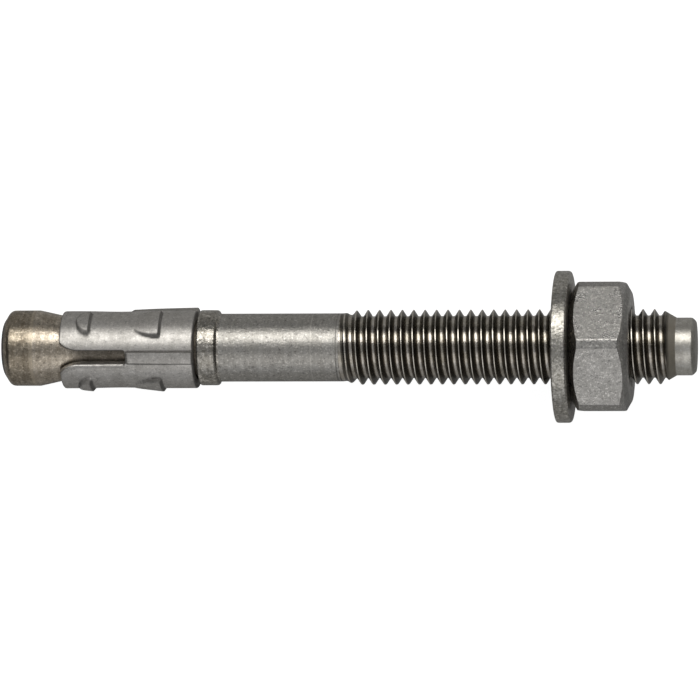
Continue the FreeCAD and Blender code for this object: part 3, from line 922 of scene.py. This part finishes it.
@dataclass
class HexNut:
    """The hexagon nut, chamfered on both faces, with its own thread."""

    start: float = 75.0
    height: float = 7.75
    width: float = 16.58
    turn: float = -1.9
    face_radius: float = 7.1
    chamfer_angle: float = 30.0
    countersink: float = 0.35
    least_radius: float = 4.22
    play: float = 0.09
    edge_round: float = 0.32
    edge_angle: float = 26.0
    corner_wear: float = 1.15
    thread: ScrewThread = field(default_factory=ScrewThread)

    def build(self, threads: ThreadTree, effects: Effects, axis: BoltAxis) -> Object:
        """Make the nut.

        Args:
            threads: The tree that winds screw threads.
            effects: The shared shader groups.
            axis: The bolt's axis.

        Returns:
            The nut.
        """
        finish = NUT_STEEL.material(effects, axis)
        shell = Shell()
        end = self.start + self.height
        angles, reach = self._outline()
        slope = math.tan(math.radians(self.chamfer_angle))
        meets = [(r - self.face_radius) * slope for r in reach]
        mouth = self.thread.crest_radius + self.play + self.countersink

        def level(place: float, radius: float) -> list[int]:
            """Add a row of points at one place and one radius."""
            return shell.loop([place] * len(angles), [radius] * len(angles), angles)

        rows = [level(self.start, mouth), level(self.start, self.face_radius)]
        for share in (0.0, 0.2, 0.4, 0.6, 0.8, 1.0):
            places = [self.start + m + (self.height - 2 * m) * share for m in meets]
            rows.append(shell.loop(places, reach, angles))
        rows += [level(end, self.face_radius), level(end, mouth)]
        for lower, upper in zip(rows, rows[1:]):
            shell.band(lower, upper)
        shell.take(threads.wind(
            finish, start=self.start, end=end, blank_radius=self.thread.crest_radius,
            least_radius=self.least_radius, mouth_radius=mouth, **self.thread.sizes(self.play),
        ), 0, outwards=False)
        made = shell.piece("nut_steelwork", axis, [finish], sharp=40.0)
        bevel = made.modifiers.new("worn_edges", "BEVEL")
        bevel.width = self.edge_round * MM
        bevel.segments = 3
        bevel.limit_method = "ANGLE"
        bevel.angle_limit = math.radians(self.edge_angle)
        bevel.use_clamp_overlap = True
        return made

    def _outline(self) -> tuple[list[float], list[float]]:
        """The hexagon with its corners worn flat, as angles and radii."""
        half_side = math.pi / 6
        cut = self.width / 2 / math.cos(half_side) - self.corner_wear / 2 * math.tan(half_side)
        spread = math.atan(self.corner_wear / 2 / cut)
        worn = [spread * share for share in (-1.0, -0.5, 0.0, 0.5, 1.0)]
        flats = [math.radians(d) for d in (5.0, 8.0, 12.0, 16.0, 20.0, 25.0, 30.0)]
        angles, reach = [], []
        for corner in range(6):
            for off in [-f for f in reversed(flats[:-1])] + worn + flats:
                angles.append(math.radians(90.0 + self.turn) + corner * 2 * half_side + off)
                if abs(off) <= spread + TINY:
                    reach.append(cut / math.cos(off))
                else:
                    reach.append(self.width / 2 / math.cos(half_side - abs(off)))
        return angles, reach


@dataclass(frozen=True)
class Bump:
    """A bump stamped in the middle of a wing, rising from a round front to a steep rear."""

    start: float
    length: float
    half_angle: float
    rise: float
    front_share: float
    edge: float
    step: float
    shift: float
    crease: float
    crease_width: float = 0.09

    def height(self, along: float, off: float, radius: float) -> float:
        """Height of the bump at a place.

        Args:
            along: Place from the sleeve's front.
            off: Angle from the wing's middle, in degrees.
            radius: Radius of the sleeve.

        Returns:
            The height above the sleeve.
        """
        share = (along - self.start) / self.length
        if share <= 0.0:
            return 0.0
        drop = 1.0
        if share > 1.0:
            drop = 1.0 - smooth((share - 1.0) * self.length / self.step)
            share = 1.0
        half = self.half_angle * math.sqrt(1.0 - (1.0 - share) ** 2)
        inside = math.radians(half - abs(off - self.shift)) * radius
        line = hump(inside, self.crease_width) * smooth(share * 4.0) * drop
        top = self.rise * (self.front_share + (1.0 - self.front_share) * share)
        return top * smooth(inside / self.edge) * drop - self.crease * line


@dataclass
class ExpansionSleeve:
    """The rolled sleeve: three wings with two bumps each, and a rib behind each slot."""

    front: float = 7.93
    rear: float = 25.68
    radius: float = 5.09
    bore: float = 3.94
    lip_bore: float = 4.493
    lip_end: float = 10.83
    drop: float = 0.22
    slot_angle: float = 12.3
    slot_width: float = 1.9
    slot_length: float = 8.8
    slot_round: float = 0.45
    wings: int = 3
    tip_length: float = 2.5
    tip_width: float = 1.15
    tip_round: float = 0.35
    rib_width: float = 1.62
    rib_rise: float = 0.3
    rib_slope: float = 0.21
    rib_edge: float = 0.09
    rib_start: float = 0.45
    rib_begin: float = 0.35
    rib_crease: float = 0.07
    crease_width: float = 0.07
    crease_begin: float = 0.3
    burr: float = 0.06
    burr_place: float = 0.52
    burr_width: float = 0.11
    burr_begin: float = 0.7
    seam_width: float = 0.3
    seam_depth: float = 0.55
    seam_edge: float = 0.12
    waist: float = 0.09
    waist_place: float = 7.5
    waist_spread: float = 3.2
    edge_round: float = 0.17
    lower_round: float = 0.34
    rim_round: float = 0.24
    columns: int = 74
    slot_columns: int = 10
    unshaded_columns: int = 7
    row_step: float = 0.17
    least_step: float = 0.018
    nail: Bump = Bump(2.1, 1.65, 26.0, 0.42, 0.6, edge=0.8, step=0.45, shift=1.0, crease=0.08)
    ramp: Bump = Bump(9.2, 3.9, 27.5, 0.44, 0.06, edge=0.36, step=0.42, shift=3.0, crease=0.05)

    @property
    def slot_end(self) -> float:
        """Place of the slots' closed end along the bolt."""
        return self.front + self.slot_length

    @property
    def block(self) -> int:
        """Columns of one wing and one slot."""
        return self.columns + self.slot_columns

    def _rows(self) -> list[float]:
        """Places of the mesh's rows, close together where the shape turns."""
        shares = (0.0, 0.2, 0.4, 0.6, 0.8, 1.0)
        rows = [self.front + self.rim_round * share ** 2 for share in shares]
        rows += [self.rear - self.rim_round * share ** 2 for share in shares]
        rim, before_rear = 0.3, -0.4
        bump_step, end_step = 0.07, 0.05
        steps = int((self.rear - self.front) / self.row_step)
        between = self.rear - self.front - 2 * rim
        rows += [self.front + rim + between * i / steps for i in range(steps + 1)]
        for bump in (self.nail, self.ramp):
            start = self.front + bump.start
            rows += [start + bump.length + bump.step * share for share in (before_rear, *shares)]
            rows += [start + bump_step * i for i in range(5)]
        rows += [self.slot_end - self.slot_round * (1.0 - math.cos(math.pi / 2 * i / 6)) for i in range(7)]
        rows += [self.slot_end + end_step * i for i in range(1, 4)]
        kept: list[float] = []
        for row in sorted({round(row, 4) for row in rows}):
            if not kept or row - kept[-1] >= self.least_step:
                kept.append(row)
            elif abs(row - self.slot_end) < NEAR:
                kept[-1] = row
        return kept

    def _half_gap(self, along: float) -> float:
        """Half of what is open between two wings at a place, as a length round the sleeve."""
        half = self.slot_width / 2
        from_tip = self.front + self.tip_length - along
        if from_tip > 0.0:
            arc = (self.tip_length ** 2 + self.tip_width ** 2) / (2 * self.tip_width)
            half += arc - math.sqrt(arc ** 2 - from_tip ** 2)
        half += rounding(along - self.front, self.tip_round)
        return half - rounding(max(0.0, self.slot_end - along), self.slot_round)

    def _rib(self, behind: float, across: float) -> float:
        """Height of the rib and of the crease beside it.

        Args:
            behind: Place from the slot's closed end.
            across: Distance from the slot's middle line.

        Returns:
            The height above the sleeve, negative in the crease.
        """
        half = self.rib_width / 2
        rise = 0.0
        if across < half:
            top = self.rib_rise + self.rib_slope * behind / (self.rear - self.slot_end)
            begun = self.rib_start + (1.0 - self.rib_start) * smooth(behind / self.rib_begin)
            rise = top * smooth((half - across) / self.rib_edge) * begun
        crease = self.rib_crease * hump(across - half, self.crease_width)
        return rise - crease * smooth(behind / self.crease_begin)

    def _outside(self, along: float, angle: float, edge: float) -> float:
        """Radius of the outside.

        Args:
            along: Place along the bolt.
            angle: Angle round the sleeve from the first slot, in degrees.
            edge: Distance to the nearest slot's side, or NO_SLOT behind the slots.

        Returns:
            The radius.
        """
        turn = 360.0 / self.wings
        off_slot = (angle + turn / 2) % turn - turn / 2
        off_wing = angle % turn - turn / 2
        across = math.radians(abs(off_slot)) * self.radius
        behind = along - self.slot_end
        lower = off_wing < 0.0
        radius = self.radius - self.waist * hump(along - self.front - self.waist_place, self.waist_spread)
        for bump in (self.nail, self.ramp):
            radius += bump.height(along - self.front, off_wing, self.radius)
        radius -= rounding(along - self.front, self.rim_round)
        radius -= rounding(self.rear - along, self.rim_round)
        radius -= rounding(edge, self.lower_round if lower else self.edge_round)
        if behind >= 0.0:
            radius += self._rib(behind, across)
        if behind > 0.0:
            if round(angle / turn) == 1:
                radius -= self.seam_depth * smooth((self.seam_width - across) / self.seam_edge)
            if across < self.slot_width / 2 - self.slot_round:
                radius -= rounding(behind, self.edge_round)
        elif lower:
            burr = self.burr * smooth(-behind / self.burr_begin)
            radius -= burr * hump(edge - self.burr_place, self.burr_width)
        return radius

    def _inside(self, along: float) -> float:
        """Radius of the inside, which opens over the cone at the front."""
        share = max(0.0, (self.lip_end - along) / (self.lip_end - self.front))
        return self.bore + (self.lip_bore - self.bore) * share

    def build(self, effects: Effects, axis: BoltAxis) -> Object:
        """Make the sleeve.

        Args:
            effects: The shared shader groups.
            axis: The bolt's axis.

        Returns:
            The sleeve.
        """
        shell = Shell()
        turn = 360.0 / self.wings
        near_slots = 0.72  # draws a wing's columns together at its sides
        spread = [i / self.columns - near_slots * math.sin(math.tau * i / self.columns) / math.tau
                  for i in range(self.columns + 1)]
        outer: list[Row] = []
        inner: list[Row] = []

        def add(along: float, angle: float, edge: float) -> None:
            """Add a point to the newest row of the outside and one to that of the inside."""
            for row, radius in ((outer[-1], self._outside(along, angle, edge)),
                                (inner[-1], self._inside(along))):
                row.append(self._point(shell, along, radius, angle))

        rows = self._rows()
        for along in rows:
            gap = math.degrees(self._half_gap(along) / self.radius)
            behind = along - self.slot_end
            outer.append([])
            inner.append([])
            for wing in range(self.wings):
                start, end = wing * turn + gap, (wing + 1) * turn - gap
                round_wing = math.radians(end - start) * self.radius
                for share in spread:
                    edge = NO_SLOT if behind > 0.0 else min(share, 1.0 - share) * round_wing
                    add(along, start + (end - start) * share, edge)
                for i in range(1, self.slot_columns):
                    if behind < -NEAR:
                        outer[-1].append(None)
                        inner[-1].append(None)
                    else:
                        add(along, end + 2 * gap * i / self.slot_columns, NO_SLOT if behind > NEAR else 0.0)
        self._skin(shell, rows, outer, inner)
        self._paint_steep_shade(shell, rows, outer)
        return shell.piece("sleeve_steelwork", axis, [SLEEVE_STEEL.material(effects, axis)],
                           sharp=50.0, recalculate=True)

    def _point(self, shell: Shell, along: float, radius: float, angle: float) -> int:
        """Add a point at an angle from the first slot, in degrees."""
        turned = math.radians(self.slot_angle + angle)
        shell.points.append((along, -radius * math.sin(turned) - self.drop, radius * math.cos(turned)))
        return len(shell.points) - 1

    def _paint_steep_shade(self, shell: Shell, rows: list[float], outer: list[Row]) -> None:
        """Mark the steep places of the outside, which are darkened with painted shade.

        Args:
            shell: The shell that gets the mark.
            rows: Places of the rows.
            outer: The outside's points, row by row; none where a slot is open.
        """
        gentle, steeper = 0.3, 0.45
        own_share, around_share = 0.6, 0.5
        places = [Vector((x, y + self.drop, z)) for x, y, z in shell.points]
        radii = [math.hypot(place.y, place.z) for place in places]
        steep = [0.0] * len(places)
        pairs = [(row[c], row[(c + 1) % len(row)]) for row in outer for c in range(len(row))]
        pairs += [pair for row, after in zip(outer, outer[1:]) for pair in zip(row, after)]
        pairs = [pair for pair in pairs if None not in pair]
        for one, other in pairs:
            apart = (places[one] - places[other]).length
            slope = abs(radii[one] - radii[other]) / max(apart, 0.01)
            for point in (one, other):
                steep[point] = max(steep[point], smooth((slope - gentle) / steeper))
        for _ in range(2):
            total = [0.0] * len(places)
            beside = [0] * len(places)
            for one, other in pairs:
                total[one] += steep[other]
                total[other] += steep[one]
                beside[one] += 1
                beside[other] += 1
            steep = [min(1.0, own_share * own + around_share * around / max(count, 1))
                     for own, around, count in zip(steep, total, beside)]
        # The wings' first columns get no painted shade beside an open slot
        for along, row in zip(rows, outer):
            for c, point in enumerate(row):
                if along < self.slot_end - 0.1 and c % self.block < self.unshaded_columns and point is not None:
                    steep[point] = 0.0
        shell.mark("soil", steep)

    def _skin(self, shell: Shell, rows: list[float], outer: list[Row], inner: list[Row]) -> None:
        """Cover the rows with faces, and close the slots' sides and both ends.

        Args:
            shell: The shell that gets the faces.
            rows: Places of the rows.
            outer: The outside's points, row by row; none where a slot is open.
            inner: The inside's points in the same order.
        """
        columns = [(c, (c + 1) % len(outer[0]), c % self.block) for c in range(len(outer[0]))]
        for i in range(len(rows) - 1):
            behind = rows[i] > self.slot_end - NEAR
            for c, d, place in columns:
                if behind or place < self.columns:
                    shell.face((outer[i][c], outer[i][d], outer[i + 1][d], outer[i + 1][c]))
                    shell.face((inner[i][c], inner[i + 1][c], inner[i + 1][d], inner[i][d]))
                if not behind and place in (0, self.columns):
                    shell.face((outer[i][c], outer[i + 1][c], inner[i + 1][c], inner[i][c]))
        slot_row = next(i for i, along in enumerate(rows) if abs(along - self.slot_end) < NEAR)
        for c, d, place in columns:
            i = 0 if place < self.columns else slot_row
            shell.face((outer[i][c], inner[i][c], inner[i][d], outer[i][d]))
            shell.face((outer[-1][c], outer[-1][d], inner[-1][d], inner[-1][c]))


# Floor, light and camera


@dataclass
class Studio:
    """A pale floor, a long soft light, a softer fill on the near side, and the camera."""

    lean: float = 3.788
    roll: float = -0.14
    distance: float = 683.0
    view_width: float = 91.62
    sensor_width: float = 36.0
    aim_along: float = 45.79
    aim_across: float = -0.35
    floor_half: float = 4.0
    floor_colour: Colour = (0.34, 0.34, 0.338)
    floor_glow: float = 0.93
    glossy_share: float = 0.08
    key_angle: float = 37.0
    key_size: tuple[float, float] = (900.0, 300.0)
    key_radiance: float = 2.7
    key_colour: Colour = (1.0, 0.985, 0.955)
    fill_angle: float = -44.0
    fill_size: tuple[float, float] = (800.0, 420.0)
    fill_radiance: float = 0.37
    fill_colour: Colour = (1.0, 0.97, 0.93)
    light_distance: float = 560.0
    sky: Colour = (0.31, 0.315, 0.325)
    end_shade: float = 0.12
    end_reach: tuple[float, float] = (0.25, 0.7)
    far_shade: float = 0.5
    near_shade: float = 1.45
    side_reach: tuple[float, float] = (0.95, -0.9)

    def floor(self) -> None:
        """Lay the floor under the anchor. It looks white but lights the anchor as a grey one."""
        half = self.floor_half
        corners = [(-half, -half, 0), (half, -half, 0), (half, half, 0), (-half, half, 0)]
        mesh = bpy.data.meshes.new("floor")
        mesh.from_pydata(corners, [], [(0, 1, 2, 3)])
        made = linked("floor", mesh)
        paint = bpy.data.materials.new("floor_paint")
        w = Wiring.emptied(paint)
        matt = w.node("ShaderNodeBsdfDiffuse", {"Color": (*self.floor_colour, 1.0)})
        path = w.outputs(w.node("ShaderNodeLightPath"))
        seen = w.math("MAXIMUM", w.math("MAXIMUM", path["Is Camera Ray"], path["Is Transmission Ray"]),
                      path["Is Glossy Ray"] * self.glossy_share)
        glow = w.node("ShaderNodeEmission", {
            "Color": (1.0, 1.0, 1.0, 1.0), "Strength": seen * self.floor_glow})
        both = w.node("ShaderNodeAddShader", {0: matt.outputs[0], 1: glow.outputs[0]})
        w.node("ShaderNodeOutputMaterial", {"Surface": both.outputs[0]})
        mesh.materials.append(paint)

    def _soft_light(self, name: str, angle: float, size: tuple[float, float], radiance: float,
                    colour: Colour) -> None:
        """Hang one long soft light over the bolt.

        Args:
            name: The light's name.
            angle: How far it hangs from overhead, in degrees, towards the far side.
            size: Its length along the bolt and its width.
            radiance: How bright it looks.
            colour: Its colour.
        """
        lamp = bpy.data.lights.new(name, "AREA")
        lamp.shape = "RECTANGLE"
        lamp.size, lamp.size_y = size[0] * MM, size[1] * MM
        lamp.energy = radiance * math.pi * lamp.size * lamp.size_y
        lamp.color = colour
        turn = math.radians(angle)
        place = Vector((0.0, math.sin(turn), math.cos(turn))) * self.light_distance * MM
        holder = linked(name, lamp)
        holder.location = place
        holder.rotation_mode = "QUATERNION"
        holder.rotation_quaternion = (-place).to_track_quat("-Z", "Y")

    def light(self) -> None:
        """Hang both lights and colour the sky, which darkens towards the bolt's two ends."""
        self._soft_light("key_light", self.key_angle, self.key_size, self.key_radiance, self.key_colour)
        self._soft_light("fill_light", self.fill_angle, self.fill_size, self.fill_radiance, self.fill_colour)
        world = bpy.data.worlds.new("studio_sky")
        bpy.context.scene.world = world
        w = Wiring.emptied(world)
        way = w.outputs(w.node("ShaderNodeSeparateXYZ", {
            0: w.node("ShaderNodeTexCoord").outputs["Generated"]}))
        endways = abs(way["X"]).ramp(*self.end_reach, 1.0, self.end_shade)
        across = way["Y"].ramp(*self.side_reach, self.far_shade, self.near_shade, soft=False)
        sky = w.node("ShaderNodeBackground", {"Color": (*self.sky, 1.0), "Strength": endways * across})
        w.node("ShaderNodeOutputWorld", {"Surface": sky.outputs[0]})

    def camera(self, axis: BoltAxis) -> None:
        """Set the camera up at the photograph's angle.

        Args:
            axis: The bolt's axis.
        """
        lens = bpy.data.cameras.new("camera")
        lens.sensor_width = self.sensor_width
        lens.lens = self.sensor_width * self.distance / self.view_width
        lens.clip_start, lens.clip_end = 0.01, 20.0
        lean = math.radians(self.lean)
        away = Vector((math.sin(lean), 0.0, math.cos(lean)))
        right = Vector((math.cos(lean), 0.0, -math.sin(lean)))
        aim = axis.foot + axis.along * self.aim_along * MM + Vector((0.0, self.aim_across * MM, 0.0))
        turn = Matrix((right, Vector((0.0, 1.0, 0.0)), away)).transposed()
        made = linked("camera", lens)
        made.rotation_mode = "QUATERNION"
        made.rotation_quaternion = (turn @ Matrix.Rotation(math.radians(self.roll), 3, "Z")).to_quaternion()
        made.location = aim + away * self.distance * MM
        bpy.context.scene.camera = made

    def set_up(self, axis: BoltAxis) -> None:
        """Lay the floor, hang the light and place the camera."""
        self.floor()
        self.light()
        self.camera(axis)
        bpy.context.scene.view_settings.view_transform = "Standard"


def report(piece: Object, body: str, slot: str, *nodes: str) -> None:
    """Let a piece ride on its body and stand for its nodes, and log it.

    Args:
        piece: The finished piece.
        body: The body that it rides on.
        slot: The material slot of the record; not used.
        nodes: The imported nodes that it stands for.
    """
    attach(piece, body)
    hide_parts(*nodes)
    log.info("%s: %d faces on %s", piece.name, len(piece.data.polygons), body)


def main() -> None:
    logging.basicConfig(level=logging.INFO, format="%(name)s %(message)s")
    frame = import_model()
    axis = BoltAxis.from_frame(frame)
    effects = Effects()
    threads = ThreadTree()
    report(AnchorBolt().build(threads, effects, axis), "bolt", "bolt_steel", "anchor_bolt")
    report(Washer().build(effects, axis), "washer", "washer_steel", "washer")
    report(HexNut().build(threads, effects, axis), "nut", "nut_steel", "hex_nut")
    report(ExpansionSleeve().build(effects, axis), "sleeve", "sleeve_steel", "expansion_sleeve")
    Studio().set_up(axis)


if __name__ == "__main__":
    main()
